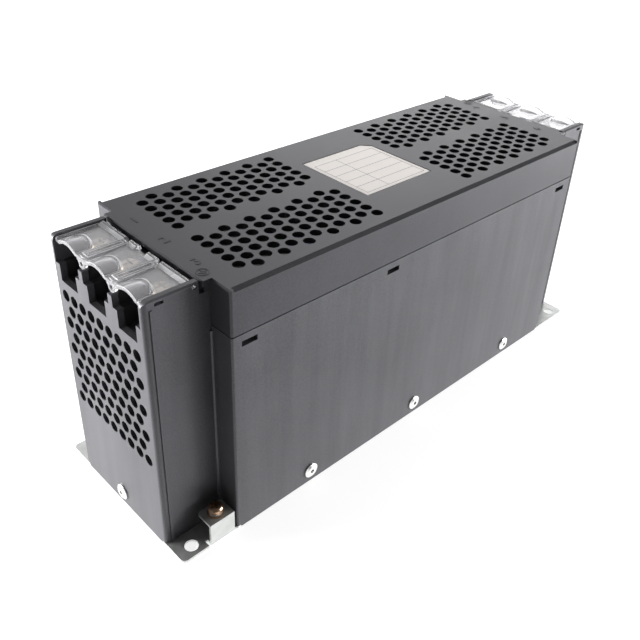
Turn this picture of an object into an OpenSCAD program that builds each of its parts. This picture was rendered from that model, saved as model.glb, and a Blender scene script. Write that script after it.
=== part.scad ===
// Three-phase line filter in a two-part moulded housing on a folded steel base.
// Origin: centre of the underside of the base plate. X runs along the filter,
// from the line terminals (-X) to the load terminals (+X). Z points up.

/* [Housing] */
// Length of the wide middle part of the housing
body_l = 250; // [246:1:290]
// Width of the wide middle part
body_w = 98; // [97:1:120]
// Height from the underside of the base plate to the top of the lid
housing_h = 132; // [130:1:150]
// Length of the terminal section at each end
end_l = 30; // [29.5:0.5:36]
// Width of the terminal sections
end_w = 71; // [70.5:0.5:76]
// Wall thickness of the wide part and of the lid
wall = 2.5; // [2:0.1:3]
// Wall thickness of the terminal sections
end_wall = 3; // [2.6:0.1:3.2]
// Radius on the upright corners of the wide part
body_corner = 1; // [0.5:0.1:2]
// Radius on the upright corners of the terminal sections
end_corner = 2; // [1:0.1:2.6]
// Height of the lid from its parting line to its top
lid_h = 22; // [20:0.5:24]
// Gap that shows at the parting line
parting_gap = 0.5; // [0.3:0.1:0.8]

/* [Vents] */
// Diameter of a vent hole
vent_d = 5.6; // [3:0.1:6]
// Spacing of the vent holes in a row, and of the rows
vent_pitch = 7; // [6.6:0.1:7.2]
// Columns in each bank of lid vents
bank_columns = 12; // [6:1:12]
// Holes in each column of the lid vents
bank_rows = 5; // [3:1:5]
// Distance from the end of the wide part to the first column
bank_end = 14.9; // [12:0.1:20]
// Distance from the centre line to the middle of a bank
bank_side = 24.6; // [22:0.1:26]
// Rows of vents in each end face
end_vent_rows = 9; // [3:2:9]
// Holes in the longer rows of the end face
end_vent_columns = 9; // [5:2:9]
// Distance from the top of the housing to the first row of the end face
end_vent_drop = 27.7; // [27:0.1:34]

/* [Lid edges] */
// Width of the bevel along the long top edges
bevel_w = 2.2; // [1:0.1:2.4]
// Depth of the bevel along the long top edges
bevel_h = 1.3; // [0.6:0.1:1.8]
// Distance of the bevel's ends from the corners of the lid
bevel_stop = 1.6; // [1:0.1:3]
// Bevel on the short top edges
end_bevel = 0.8; // [0.4:0.1:1.2]
// Reach of the lid over each terminal section
tongue_l = 4; // [3.4:0.1:4.4]
// Overhang of the lid past the sides of the terminal section
tongue_side = 1; // [0.6:0.1:1.4]
// Depth of the corner legs under the tongue
tongue_leg = 5.4; // [4:0.1:6]

/* [Snap windows and rivets] */
// Length of a snap window in the long sides
snap_l = 8.1; // [6:0.1:10]
// Height of a snap window
snap_h = 2.6; // [2.2:0.1:3.2]
// Distance from the lid's top to the middle of the snap windows
snap_drop = 27.1; // [26:0.1:29]
// Distance of the first snap window of the -Y side from the -X end of the wide part
snap_first = 9; // [8:1:13]
// Distance of the middle snap window of the -Y side from the middle of the filter, towards -X
snap_second = 30; // [20:1:36]
// Distance of the last snap window of the -Y side from the +X end of the wide part
snap_third = 11; // [9:1:13]
// Distance of the first blind rivet of the -Y side from the -X end of the wide part
rivet_first = 46; // [35:1:65]
// Distance of the middle blind rivet of the -Y side from the middle of the filter, towards -X
rivet_second = 1; // [0:1:20]
// Distance of the last blind rivet of the -Y side from the +X end of the wide part
rivet_third = 41; // [35:1:65]
// Height of the rivets above the underside of the base plate
rivet_z = 7.2; // [6.5:0.1:8.5]
// Head diameter of a rivet
rivet_head = 8; // [6:0.1:9]
// Shank diameter of a rivet
rivet_d = 4; // [3.2:0.1:4.8]

/* [Base plate] */
// Thickness of the base plate
plate_t = 1.2; // [1:0.1:1.6]
// Height of the folded flanges inside the housing
flange_h = 13; // [12.5:0.5:16]
// Diameter of the four mounting holes
mount_hole = 6.5; // [5.5:0.1:7]
// Distance of the mounting holes from the ends of the plate
mount_end = 8; // [6:0.1:9]
// Distance of the mounting holes from the long edges of the plate
mount_side = 5.5; // [5:0.1:7]
// Radius on the corners of the plate
plate_corner = 2.5; // [1:0.1:4]
// Width of the folded earth tab
tab_w = 13.4; // [11:0.1:14]
// Height of the earth tab above the underside of the plate
tab_h = 12.4; // [11:0.1:16]
// Gap between the top leaf of the earth tab and the side of the terminal section
tab_clear = 2.6; // [1.6:0.1:4]
// Gap between the earth tab and the shoulder of the housing
tab_gap = 1.2; // [0.8:0.1:1.6]
// Width of the relief notch beside the earth tab
relief_w = 1.5; // [1:0.1:2]
// Depth of the relief notch
relief_l = 2.8; // [2:0.1:3.4]
// Head diameter of the earth screw
earth_head = 7; // [6:0.1:8]
// Thread diameter of the earth screw
earth_d = 4; // [3:0.1:5]

/* [Terminals] */
// Thickness of the webs between the three terminal bays
web_t = 3; // [2.4:0.1:3.6]
// Depth that the outer bays are cut into the side walls
bay_relief = 0.2; // [0:0.05:0.4]
// Width of the cable notch below the ledges
notch_w = 13.4; // [12.6:0.1:14]
// Distance from the lid's top down to the ledges
ledge_drop = 12.6; // [12.2:0.1:13]
// Distance from the lid's top down to the floor of the cable notch
notch_drop = 20.7; // [20:0.1:21.4]
// Distance from the lid's top down to the top of the webs between the bays
web_drop = 7.5; // [7.3:0.1:8]
// Distance of the terminal screws from the end face
screw_in = 16.5; // [16:0.1:17.5]
// Thread diameter of the terminal screws
screw_d = 5; // [4:0.1:5.4]
// Head diameter of the terminal screws
screw_head = 9; // [8:0.1:9.6]
// Height of the terminal screw heads
screw_head_h = 4; // [3:0.1:4.2]
// Thickness of the flat washers at the terminals
washer_t = 1.2; // [1:0.1:1.4]
// Thickness of the spring washers at the terminals
spring_t = 1.3; // [1:0.1:1.5]
// Width of the terminal bars
bar_w = 12; // [11:0.1:12.6]
// Thickness of the terminal bars
bar_t = 2; // [1.5:0.1:2.4]
// Distance from the lid's top down to the top of the terminal bars
bar_drop = 11.6; // [11:0.1:12]

/* [Terminal covers] */
// Distance of the hinge axis from the wide part of the housing
hinge_out = 7; // [6.8:0.1:7.4]
// Distance of the hinge axis below the top of the housing
hinge_drop = 1.9; // [1.8:0.1:2]
// Radius of the hinge barrels
barrel_r = 1.4; // [1.2:0.05:1.5]
// Radius of the hinge pins
pin_r = 0.9; // [0.7:0.05:0.95]
// Thickness of the clear cover
cover_t = 1.4; // [1.2:0.05:1.6]
// Distance of the cover's flat top below the top of the housing
cover_drop = 1.7; // [1.6:0.05:1.8]
// Half width of a dome over a bay
dome_w = 6.9; // [6.2:0.1:7.1]
// Rise of a dome above the cover's flat top
dome_h = 1.9; // [1.4:0.1:2]
// Distance from the cover's front edge to the middle of a dome's round rear end
dome_l = 2.3; // [1.5:0.1:3]
// Radius of the round rear end of a dome, seen from above
dome_r = 8.3; // [7.8:0.1:8.8]
// Width of the sloping rear end of a dome
dome_end = 1.7; // [1.2:0.1:2]
// Setback of the cover's front edge from the end face
cover_front = 1.2; // [1:0.1:1.5]

/* [Label] */
// Length of the rating label
label_l = 46; // [36:0.5:60]
// Width of the rating label
label_w = 46; // [36:0.5:60]
// Thickness of the rating label
label_t = 0.25; // [0.15:0.05:0.35]
// Depth of the label's recess in the lid
label_recess = 0.4; // [0.36:0.02:0.8]
// Cut corner of the label
label_cut = 4.5; // [0:0.5:8]

/* [Chokes] */
// Distance of each choke from the middle of the filter
choke_x = 62; // [56:1:66]
// Outside diameter of a choke core
core_od = 74; // [70:1:76]
// Inside diameter of a choke core
core_id = 40; // [36:1:42]
// Length of a choke core along its axis
core_l = 30; // [24:1:34]
// Rounding of the core's edges
core_round = 4; // [3:0.5:5]
// Diameter of the winding wire
wire_d = 3; // [2:0.1:3.2]
// Turns in each winding
turns = 7; // [4:1:8]
// Angle that each winding covers
winding_angle = 94; // [90:1:96]

/* [Capacitor board] */
// Gap between the windings and the board above them
board_gap = 6.5; // [4.5:0.1:8.5]
// Thickness of the board
board_t = 1.6; // [1:0.1:2]
// Length of a line capacitor
cap_l = 30; // [24:1:32]
// Width of a line capacitor
cap_w = 17; // [12:1:19]
// Gap between the line capacitors and the lid
cap_gap = 8.9; // [6.5:0.1:14]
// Distance of the middle screws of the board from the middle of the filter
board_screw_x = 38; // [37:1:40]

/* [Hidden] */

$fn = 48;
fine = 96;
small = 28;

fit = 0.3;              // running clearance between moulded pieces
hairline = 0.1;         // clearance of a shank in its hole
cut = 1;                // overshoot of a cutting tool

total_l = body_l + 2 * end_l;
end_x = -total_l / 2;
lid_z = housing_h - lid_h;
case_top = lid_z - parting_gap;
inner_w = body_w - 2 * wall;
inner_l = body_l - 2 * wall;
end_inner_w = end_w - 2 * end_wall;
end_inner_l = total_l - 2 * end_wall;
snap_places = [-body_l / 2 + snap_first, -snap_second, body_l / 2 - snap_third];
rivet_places = [-body_l / 2 + rivet_first, -rivet_second, body_l / 2 - rivet_third];
bays = [-1, 0, 1];
corners = [-1, 1];

// Terminal section, measured inwards (u) from the end face.
hinge_u = end_l - hinge_out;
hinge_z = housing_h - hinge_drop;
ledge_z = housing_h - ledge_drop;
notch_z = housing_h - notch_drop;
web_z = housing_h - web_drop;
bar_z = housing_h - bar_drop;
block_floor = 3.6;
block_z = notch_z - block_floor;
block_front = end_wall + fit;
block_w = end_inner_w - 2 * fit;
block_back = end_l - 2;
block_back_t = 2.4;
step_u = block_front + 7.3;
bay_w = (end_inner_w + 2 * bay_relief - 2 * web_t) / 3;
bay_pitch = bay_w + web_t;
bar_front = step_u + 0.4;
bar_leg_u = end_l - 1.6;
bar_leg_h = 14;
flat_washer_z = bar_z;
spring_washer_z = flat_washer_z + washer_t;
screw_head_z = spring_washer_z + spring_t;
screw_len = 9;
rail_l = 6;
rail_w = 3;
rail_u = 9;
wall_step_u = end_l - 4.9;
wall_step_drop = tongue_leg + 0.5;
rib_w = 1.2;
rib_out = 0.45;
rib_in = 1.4;
rib_drop = 4.2;

// Clear covers.
cover_top = housing_h - cover_drop;
cover_bottom = cover_top - cover_t;
cover_w = end_inner_w - 2 * fit;
cover_rim_w = 1.1;
cover_rim_h = 0.6;
island_w = 4.9;
island_slot = 2;
island_l = 18.4;
island_h = 0.6;
lug_w = 7.6;
lug_t = 1.4;
lug_z = housing_h - 4.6;
lug_r = 2.4;
lug_hole = 1.1;
barrel_gap = 3.4;
short_barrel = 6.1;

// Base plate.
flange_y = inner_w / 2;
flange_stop = 4.5;
flange_l = inner_l - 2 * flange_stop;
end_flange_w = end_inner_w - 2 * flange_stop;
sheet_inset = 2;
plate_end_x = total_l / 2;
tab_x = -body_l / 2 - tab_gap - tab_w / 2;
tab_inset = 0.4;
tab_y = -body_w / 2 + tab_inset;
tab_leaf = (body_w - end_w) / 2 - tab_inset - tab_clear;
tab_round = 2;
tab_hole_y = tab_y + tab_leaf / 2;
earth_washer_t = 0.8;
earth_spring_t = 1.1;
earth_head_h = 2.8;
earth_len = 8;

// Lid.
lip_t = 1.2;
lip_l = 2.8;
hook_w = snap_l - 2 * fit;
hook_t = 1.5;
hook_end = housing_h - snap_drop - snap_h / 2 - 0.8;
barb_h = snap_h - 2 * fit;
barb_out = 1.4;
tongue_w = end_w + 2 * tongue_side;
tongue_leg_l = 2.8;
tongue_leg_w = 3.6;
label_margin = 0.5;

// Chokes: rings standing on edge, with their axes along X.
sheet_t = 0.5;
wire_gap = 0.25;
wrap = wire_d / 2 + wire_gap;
section_r = (core_od + core_id) / 4;
section_half = (core_od - core_id) / 4;
choke_r = core_od / 2 + wrap + wire_d / 2;
saddle_t = 3;
choke_z = plate_t + sheet_t + saddle_t + choke_r + fit;
saddle_w = 56;
saddle_h = 17;
saddle_post = 7;
loop_steps = 8;
wire_sides = 6;
out_tail = 8;
lead_d = wire_d;
lead_out = 5;
lead_bend = 10;
lead_rise = 4;
lead_low = 24;
lead_end = 12;
sleeve_l = 14;
// middle angle of each winding, and the bay that its lead goes to
phases = [90, 330, 210];
lead_bays = [1, 0, -1];

// Board.
board_z = choke_z + choke_r + board_gap;
board_top = board_z + board_t;
board_end_gap = 13.5;
board_side_gap = 0.5;
board_l = inner_l - 2 * board_end_gap;
board_w = inner_w - 2 * board_side_gap;
board_screw_in = 4;
boss_x = [-board_l / 2 + board_screw_in, -board_screw_x,
          board_screw_x, board_l / 2 - board_screw_in];
board_hole = 3.2;
board_screw_d = 3;
board_screw_head = 5.2;
board_screw_head_h = 2;
board_screw_l = 8;
// the screws stand clear of the lip of the lid
board_hole_y = inner_w / 2 - lip_t - 2 * fit - board_screw_head / 2;
boss_l = 6;
boss_w = 7.5;
cap_h = housing_h - wall - cap_gap - board_top;
cap_in = 21;
cap_x = board_l / 2 - cap_in;
cap_round = 1;
cap_pitch = 27;
earth_cap_x = 46;
earth_cap_l = 6;
earth_cap_w = 13;
earth_cap_h = 12;
resistor_x = 24;
resistor_d = 3.8;
resistor_l = 9;
resistor_leg = 0.8;
resistor_pitch = 13;

// ---------------------------------------------------------------- helpers

module rounded_rect(l, w, r) {
    square([l - 2 * r, w], center = true);
    square([l, w - 2 * r], center = true);
    for (sx = corners, sy = corners)
        translate([sx * (l / 2 - r), sy * (w / 2 - r)])
            circle(r = r);
}

// A box centred on X and Y, with its foot at z.
module block(l, w, h, at = [0, 0, 0]) {
    translate([at[0] - l / 2, at[1] - w / 2, at[2]])
        cube([l, w, h]);
}

// A box given by its low corner and its high corner.
module span(low, high) {
    translate(low)
        cube(high - low);
}

// Places an end feature, drawn inwards from the end face, at one end.
module at_end(side) {
    if (side < 0)
        translate([end_x, 0, 0]) children();
    else
        mirror([1, 0, 0]) translate([end_x, 0, 0]) children();
}

// A rod along Y, centred on the XZ plane.
module rod_y(r, l, fn = $fn) {
    rotate([90, 0, 0])
        cylinder(r = r, h = l, center = true, $fn = fn);
}

// A prism along X with its outline given in Y and Z.
module prism_x(points, l) {
    translate([-l / 2, 0, 0])
        rotate([90, 0, 90])
            linear_extrude(l) polygon(points);
}

// A prism along Y with its outline given in X and Z.
module prism_y(points, l) {
    translate([0, l / 2, 0])
        rotate([90, 0, 0])
            linear_extrude(l) polygon(points);
}

// Repeats a -Y side feature on the +Y side, turned half round.
module both_sides() {
    children();
    rotate([0, 0, 180]) children();
}

function unit(v) = v / norm(v);
function way(points, i) = unit(points[i + 1] - points[i]);

// Normal of the cut across a wire at point i: square at the ends, mitred at the bends.
function cut_normal(points, i) =
    i == 0 ? way(points, 0)
    : i == len(points) - 1 ? way(points, i - 1)
    : unit(way(points, i) + way(points, i - 1));

// The ring of points r, slid along the wire on to its cut at point i.
function slid(r, points, i) =
    let (d = way(points, i - 1), n = cut_normal(points, i))
    [for (p = r) p + d * ((points[i] - p) * n) / (d * n)];

function first_ring(points, d) =
    let (u = unit(cross(way(points, 0), [0.3, 0.5, 0.8])), v = cross(way(points, 0), u))
    [for (s = [0 : wire_sides - 1])
        points[0] + (u * cos(360 * s / wire_sides) + v * sin(360 * s / wire_sides)) * d / 2];

// A wire along a list of points, with mitred bends.
module wire(points, d) {
    count = len(points);
    rings = [for (i = 0, r = first_ring(points, d); i < count;
                  i = i + 1, r = i < count ? slid(r, points, i) : r) r];
    tube = [for (i = [0 : count - 2], s = [0 : wire_sides - 1])
        let (t = (s + 1) % wire_sides)
        [i * wire_sides + s, (i + 1) * wire_sides + s,
         (i + 1) * wire_sides + t, i * wire_sides + t]];
    start = [for (s = [0 : wire_sides - 1]) s];
    finish = [for (s = [wire_sides - 1 : -1 : 0]) (count - 1) * wire_sides + s];
    polyhedron(points = [for (r = rings, p = r) p], faces = concat(tube, [start], [finish]),
               convexity = 10);
}

// ---------------------------------------------------------------- base

module plate_outline() {
    square([body_l - 2 * wall, 2 * flange_y], center = true);
    for (side = corners)
        translate([side * (plate_end_x + body_l / 2 - wall) / 2, 0])
            difference() {
                rounded_rect(end_l + wall, body_w, plate_corner);
                // the end wall of the housing reaches down past the plate
                translate([side * ((end_l + wall) / 2 - end_wall / 2), 0])
                    square([end_wall + hairline, end_inner_w], center = true);
            }
}

module earth_tab() {
    // upright leaf on the plate's edge, with the top leaf folded inwards
    span([tab_x - tab_w / 2, tab_y, 0], [tab_x + tab_w / 2, tab_y + plate_t, tab_h]);
    translate([tab_x, tab_y + tab_leaf / 2, tab_h - plate_t])
        linear_extrude(plate_t)
            union() {
                translate([0, -tab_round / 2])
                    square([tab_w, tab_leaf - tab_round], center = true);
                square([tab_w - 2 * tab_round, tab_leaf], center = true);
                for (sx = corners)
                    translate([sx * (tab_w / 2 - tab_round), tab_leaf / 2 - tab_round])
                        circle(r = tab_round);
            }
}

module base_plate() {
    color("darkgray")
        difference() {
            union() {
                difference() {
                    linear_extrude(plate_t) plate_outline();
                    // relief beside each earth tab, and the sheet that the tab was cut from
                    both_sides() {
                        span([tab_x - tab_w / 2 - relief_w, -body_w / 2 - cut, -cut],
                             [tab_x - tab_w / 2, tab_y + relief_l, plate_t + cut]);
                        span([tab_x - tab_w / 2, -body_w / 2 - cut, -cut],
                             [-body_l / 2, tab_y, plate_t + cut]);
                    }
                }
                both_sides() {
                    block(flange_l, plate_t, flange_h, [0, -flange_y + plate_t / 2, 0]);
                    block(plate_t, end_flange_w, flange_h,
                          [end_x + end_wall + plate_t / 2 + hairline / 2, 0, 0]);
                    earth_tab();
                }
            }
            for (sx = corners, sy = corners)
                translate([sx * (plate_end_x - mount_end), sy * (body_w / 2 - mount_side), -cut])
                    cylinder(d = mount_hole, h = plate_t + 2 * cut);
            both_sides() {
                translate([tab_x, tab_hole_y, tab_h - plate_t - cut])
                    cylinder(d = earth_d + 2 * hairline, h = plate_t + 2 * cut);
                for (x = rivet_places)
                    translate([x, -flange_y, rivet_z])
                        rod_y(rivet_d / 2 + hairline, 4 * plate_t);
                translate([end_x + end_wall, 0, rivet_z])
                    rotate([0, 0, 90]) rod_y(rivet_d / 2 + hairline, 4 * plate_t);
            }
        }
}

module insulation_sheet() {
    color("ivory")
        translate([0, 0, plate_t])
            linear_extrude(sheet_t)
                square([flange_l - 2 * sheet_inset, 2 * (flange_y - plate_t - sheet_inset)],
                       center = true);
}

// ---------------------------------------------------------------- lower case

module end_vents() {
    for (row = [0 : end_vent_rows - 1]) {
        count = row % 2 == 0 ? end_vent_columns : end_vent_columns - 1;
        z = housing_h - end_vent_drop - row * vent_pitch;
        for (i = [0 : count - 1])
            translate([end_wall / 2, (i - (count - 1) / 2) * vent_pitch, z])
                rotate([0, 90, 0])
                    cylinder(d = vent_d, h = end_wall + 2 * cut, center = true, $fn = small);
    }
}

// Stepped cable notch of one bay, cut through the end wall.
module cable_notch(y) {
    span([-cut, y - bay_w / 2, ledge_z], [end_wall + cut, y + bay_w / 2, housing_h + cut]);
    span([-cut, y - notch_w / 2, notch_z], [end_wall + cut, y + notch_w / 2, housing_h + cut]);
}

// What is cut from one terminal section.
module end_cuts() {
    rim_round = 3;
    rim_bevel = 0.7;
    end_vents();
    for (k = bays) cable_notch(k * bay_pitch);
    // the webs stop short of the rim
    span([-cut, -end_inner_w / 2, web_z], [end_wall + cut, end_inner_w / 2, housing_h + cut]);
    // outer top corner of the side walls
    difference() {
        span([-cut, -end_w, housing_h - rim_round], [rim_round, end_w, housing_h + cut]);
        translate([rim_round, 0, housing_h - rim_round]) rod_y(rim_round, 3 * end_w);
    }
    for (side = corners)
        translate([end_l / 2, side * end_w / 2, housing_h])
            rotate([45, 0, 0])
                cube([end_l + 4 * cut, rim_bevel * sqrt(2), rim_bevel * sqrt(2)], center = true);
    // hinge pin holes and the small front windows
    translate([hinge_u, 0, hinge_z]) rod_y(pin_r + fit - hairline / 2, end_w + 2 * cut, small);
    for (side = corners)
        block(4, 3 * end_wall, 1.5, [7.2, side * end_w / 2, housing_h - 3.1]);
    // lowered wall under the tongue of the lid
    span([wall_step_u, -end_w, housing_h - wall_step_drop], [end_l + cut, end_w, housing_h + cut]);
    translate([end_wall / 2, 0, rivet_z])
        rotate([0, 90, 0])
            cylinder(r = rivet_d / 2 + hairline, h = end_wall + 2 * cut, center = true);
    // the ears of the base plate run in under the side walls
    span([-cut, end_w / 2 - end_wall, -cut], [end_l + wall, body_w, plate_t]);
    span([-cut, -body_w, -cut], [end_l + wall, -end_w / 2 + end_wall, plate_t]);
}

module lower_case() {
    color("dimgray") {
        difference() {
            union() {
                difference() {
                    union() {
                        linear_extrude(case_top)
                            rounded_rect(body_l, body_w, body_corner);
                        linear_extrude(housing_h)
                            rounded_rect(total_l, end_w, end_corner);
                    }
                    translate([0, 0, -cut])
                        linear_extrude(housing_h + 2 * cut) {
                            square([inner_l, inner_w], center = true);
                            square([end_inner_l, end_inner_w], center = true);
                        }
                    block(body_l, body_w + 2 * cut, housing_h, [0, 0, case_top]);
                }
                // bead in each inner corner of the shoulders
                for (sx = corners, sy = corners)
                    translate([sx * body_l / 2, sy * end_w / 2, tab_h])
                        cylinder(r = 1, h = case_top - 2.5 - tab_h, $fn = small);
                // bosses that carry the capacitor board
                for (x = boss_x, sy = corners)
                    block(boss_l, boss_w, board_z - flange_h - 1,
                          [x, sy * (inner_w / 2 - boss_w / 2 + hairline), flange_h + 1]);
                // rib beside each front corner of the terminal sections
                for (sx = corners, sy = corners)
                    block(rib_w, 2 * rib_out, housing_h - rib_drop - plate_t,
                          [sx * (total_l / 2 - end_corner - rib_in), sy * end_w / 2, plate_t]);
                // rails that carry the terminal blocks
                for (side = corners)
                    at_end(side)
                        for (sy = corners)
                            block(rail_l, rail_w, block_z - flange_h - 1,
                                  [rail_u + rail_l / 2,
                                   sy * (end_inner_w / 2 - rail_w / 2 + hairline), flange_h + 1]);
            }
            for (side = corners) at_end(side) end_cuts();
            both_sides() {
                for (x = snap_places)
                    block(snap_l, 4 * wall, snap_h,
                          [x, -body_w / 2, housing_h - snap_drop - snap_h / 2]);
                for (x = rivet_places)
                    translate([x, -body_w / 2, rivet_z])
                        rod_y(rivet_d / 2 + hairline, 4 * wall);
            }
            for (x = boss_x, sy = corners)
                translate([x, sy * board_hole_y, board_z - 10])
                    cylinder(d = board_screw_d - 0.4, h = 12, $fn = small);
        }
    }
}

// ---------------------------------------------------------------- lid

// One bank of vents. Every other column is shifted half a pitch to the centre line.
module vent_bank(sx, sy) {
    for (column = [0 : bank_columns - 1], row = [0 : bank_rows - 1]) {
        x = sx * (body_l / 2 - bank_end - column * vent_pitch);
        shift = column % 2 == 0 ? -0.5 : 0;
        y = sy * (bank_side + (row - (bank_rows - 1) / 2 + shift) * vent_pitch);
        translate([x, y, housing_h - wall - cut])
            cylinder(d = vent_d, h = wall + 2 * cut, $fn = small);
    }
}

module label_outline(grow) {
    l = label_l / 2 + grow;
    w = label_w / 2 + grow;
    c = label_cut + grow / 2;
    polygon([[-l, -w], [l, -w], [l, w - c], [l - c, w], [-l, w]]);
}

module snap_hook(x) {
    face = -(inner_w / 2 - fit);
    z = housing_h - snap_drop;
    block(hook_w, hook_t, lid_z - hook_end, [x, face + hook_t / 2, hook_end]);
    translate([x, 0, 0])
        prism_x([[face + hairline, z - barb_h / 2], [face + hairline, z + barb_h / 2],
                 [face - barb_out, z + barb_h / 2], [face - barb_out, z + barb_h / 4]], hook_w);
}

module lid_shell() {
    difference() {
        union() {
            translate([0, 0, lid_z])
                linear_extrude(lid_h) rounded_rect(body_l, body_w, body_corner);
            block(body_l + 2 * tongue_l, tongue_w, wall, [0, 0, housing_h - wall]);
            // corner legs of the tongues
            for (sx = corners, sy = corners)
                block(tongue_leg_l + cut, tongue_leg_w, tongue_leg,
                      [sx * (body_l / 2 + tongue_leg_l / 2 - cut / 2),
                       sy * (tongue_w / 2 - tongue_leg_w / 2), housing_h - tongue_leg]);
        }
        block(inner_l, inner_w, lid_h, [0, 0, lid_z - wall]);
        // way through to the terminal sections, clear of their side walls
        block(body_l + 2 * cut, end_w + 2 * fit, lid_h - wall - cut, [0, 0, lid_z - cut]);
        block(body_l + 2 * cut, end_inner_w, lid_h, [0, 0, lid_z - wall]);
    }
}

module top_cover() {
    color("dimgray")
        difference() {
            union() {
                lid_shell();
                // lip that centres the lid inside the case
                for (sy = corners) {
                    block(inner_l - 8, lip_t, lip_l + 3,
                          [0, sy * (inner_w / 2 - fit - lip_t / 2), lid_z - lip_l]);
                    block(inner_l - 8, lip_t + fit, 3,
                          [0, sy * (inner_w / 2 - lip_t / 2), lid_z]);
                }
                both_sides()
                    for (x = snap_places) snap_hook(x);
            }
            for (sx = corners, sy = corners) vent_bank(sx, sy);
            translate([0, 0, housing_h - label_recess])
                linear_extrude(label_recess + cut) label_outline(label_margin);
            // bevels of the long edges stop short of the corners
            for (sy = corners)
                prism_x([[sy * (body_w / 2 - bevel_w), housing_h + hairline],
                         [sy * (body_w / 2 + hairline), housing_h - bevel_h],
                         [sy * (body_w / 2 + cut), housing_h + hairline]],
                        body_l - 2 * bevel_stop);
            for (sx = corners, sy = corners)
                translate([0, sy * (body_w + tongue_w) / 4, 0])
                    prism_y([[sx * (body_l / 2 - end_bevel), housing_h + hairline],
                             [sx * (body_l / 2 + hairline), housing_h - end_bevel],
                             [sx * (body_l / 2 + cut), housing_h + hairline]],
                            (body_w - tongue_w) / 2);
            // bevel on the free edge of each tongue
            for (sx = corners)
                prism_y([[sx * (body_l / 2 + tongue_l - end_bevel), housing_h + hairline],
                         [sx * (body_l / 2 + tongue_l + hairline), housing_h - end_bevel],
                         [sx * (body_l / 2 + tongue_l + cut), housing_h + hairline]],
                        tongue_w + 2 * cut);
        }
}

module rating_label() {
    color("white")
        translate([0, 0, housing_h - label_recess])
            linear_extrude(label_t) label_outline(0);
}

// ---------------------------------------------------------------- fasteners

// Blind rivet along +Z, with its head on z = 0 and its shank downwards.
module blind_rivet(grip) {
    head_h = 1.4;
    hole_r = rivet_d / 4;
    tail_h = 2.6;
    tail_r = rivet_d / 2 + 0.9;
    rotate_extrude()
        polygon([[hole_r, -grip - tail_h], [hole_r, head_h], [rivet_head / 2 - 1.2, head_h],
                 [rivet_head / 2, head_h / 2], [rivet_head / 2, 0], [rivet_d / 2, 0],
                 [rivet_d / 2, -grip], [tail_r, -grip - 0.3], [tail_r, -grip - tail_h + 0.6],
                 [tail_r - 0.6, -grip - tail_h]]);
}

module side_rivets() {
    color("silver")
        both_sides()
            for (x = rivet_places)
                translate([x, -body_w / 2, rivet_z])
                    rotate([90, 0, 0]) blind_rivet(wall + plate_t);
}

module end_rivets() {
    color("silver")
        for (side = corners)
            at_end(side)
                translate([0, 0, rivet_z])
                    rotate([0, -90, 0]) blind_rivet(end_wall + plate_t + hairline);
}

// Screw with a domed, cross-recessed head. Its head rests on z = 0.
module screw(d, head, head_h, l, recess) {
    difference() {
        rotate_extrude()
            polygon([[0, -l], [d / 2 - 0.4, -l], [d / 2, -l + 0.6], [d / 2, 0], [head / 2, 0],
                     [head / 2, head_h * 0.6], [head / 2 - 0.5, head_h * 0.85],
                     [head / 2 - 1.4, head_h], [0, head_h]]);
        for (turn = [0, 90])
            rotate([0, 0, turn])
                block(recess, 1, head_h, [0, 0, head_h * 0.55]);
    }
}

module ring(outer, inner, t) {
    difference() {
        cylinder(d = outer, h = t);
        translate([0, 0, -cut]) cylinder(d = inner, h = t + 2 * cut);
    }
}

// Split spring washer.
module spring_washer(outer, inner, t) {
    difference() {
        ring(outer, inner, t);
        rotate([0, 0, 30])
            translate([outer / 2, 0, t / 2])
                rotate([25, 0, 0]) cube([outer, 0.6, 4 * t], center = true);
    }
}

module at_earth_tabs() {
    both_sides()
        translate([tab_x, tab_hole_y, tab_h]) children();
}

module earth_washers() {
    color("silver")
        at_earth_tabs()
            ring(earth_head + 0.8, earth_d + 2 * hairline, earth_washer_t);
}

module earth_spring_washers() {
    color("silver")
        at_earth_tabs()
            translate([0, 0, earth_washer_t])
                spring_washer(earth_head, earth_d + 2 * hairline, earth_spring_t);
}

module earth_screws() {
    color("lightgray")
        at_earth_tabs()
            translate([0, 0, earth_washer_t + earth_spring_t])
                screw(earth_d, earth_head, earth_head_h, earth_len, 4.4);
}

// ---------------------------------------------------------------- terminals

module terminal_block() {
    difference() {
        union() {
            // floor under all three bays
            span([block_front, -block_w / 2, block_z], [block_back, block_w / 2, notch_z]);
            // raised seats under the terminal bars
            span([step_u, -block_w / 2, notch_z], [block_back, block_w / 2, bar_z - bar_t]);
            // back wall that screens the inside of the filter
            span([block_back - block_back_t, -block_w / 2, notch_z],
                 [block_back, block_w / 2, cover_bottom - 1.2]);
            // webs between the bays
            for (side = corners)
                span([block_front, side * bay_pitch / 2 - web_t / 2, notch_z],
                     [block_back, side * bay_pitch / 2 + web_t / 2, cover_bottom - 0.5]);
            // ledges beside the cable notches
            for (k = bays, side = corners)
                ledge(k, side);
        }
        for (k = bays) {
            // slot in the back wall, which the bar passes through
            span([block_back - block_back_t - cut, k * bay_pitch - bar_w / 2 - hairline, bar_z - bar_t],
                 [block_back + cut, k * bay_pitch + bar_w / 2 + hairline, bar_z + hairline]);
            translate([screw_in, k * bay_pitch, bar_z - bar_t - screw_len])
                cylinder(d = screw_d + 1, h = screw_len + cut);
        }
    }
}

// The ledge on one side of bay k, as far as the outer face of the block.
module ledge(k, side) {
    near = k * bay_pitch + side * notch_w / 2;
    far = max(-block_w / 2, min(block_w / 2, k * bay_pitch + side * (bay_w / 2 + hairline)));
    span([block_front, min(near, far), notch_z], [step_u + cut, max(near, far), ledge_z]);
}

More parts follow.
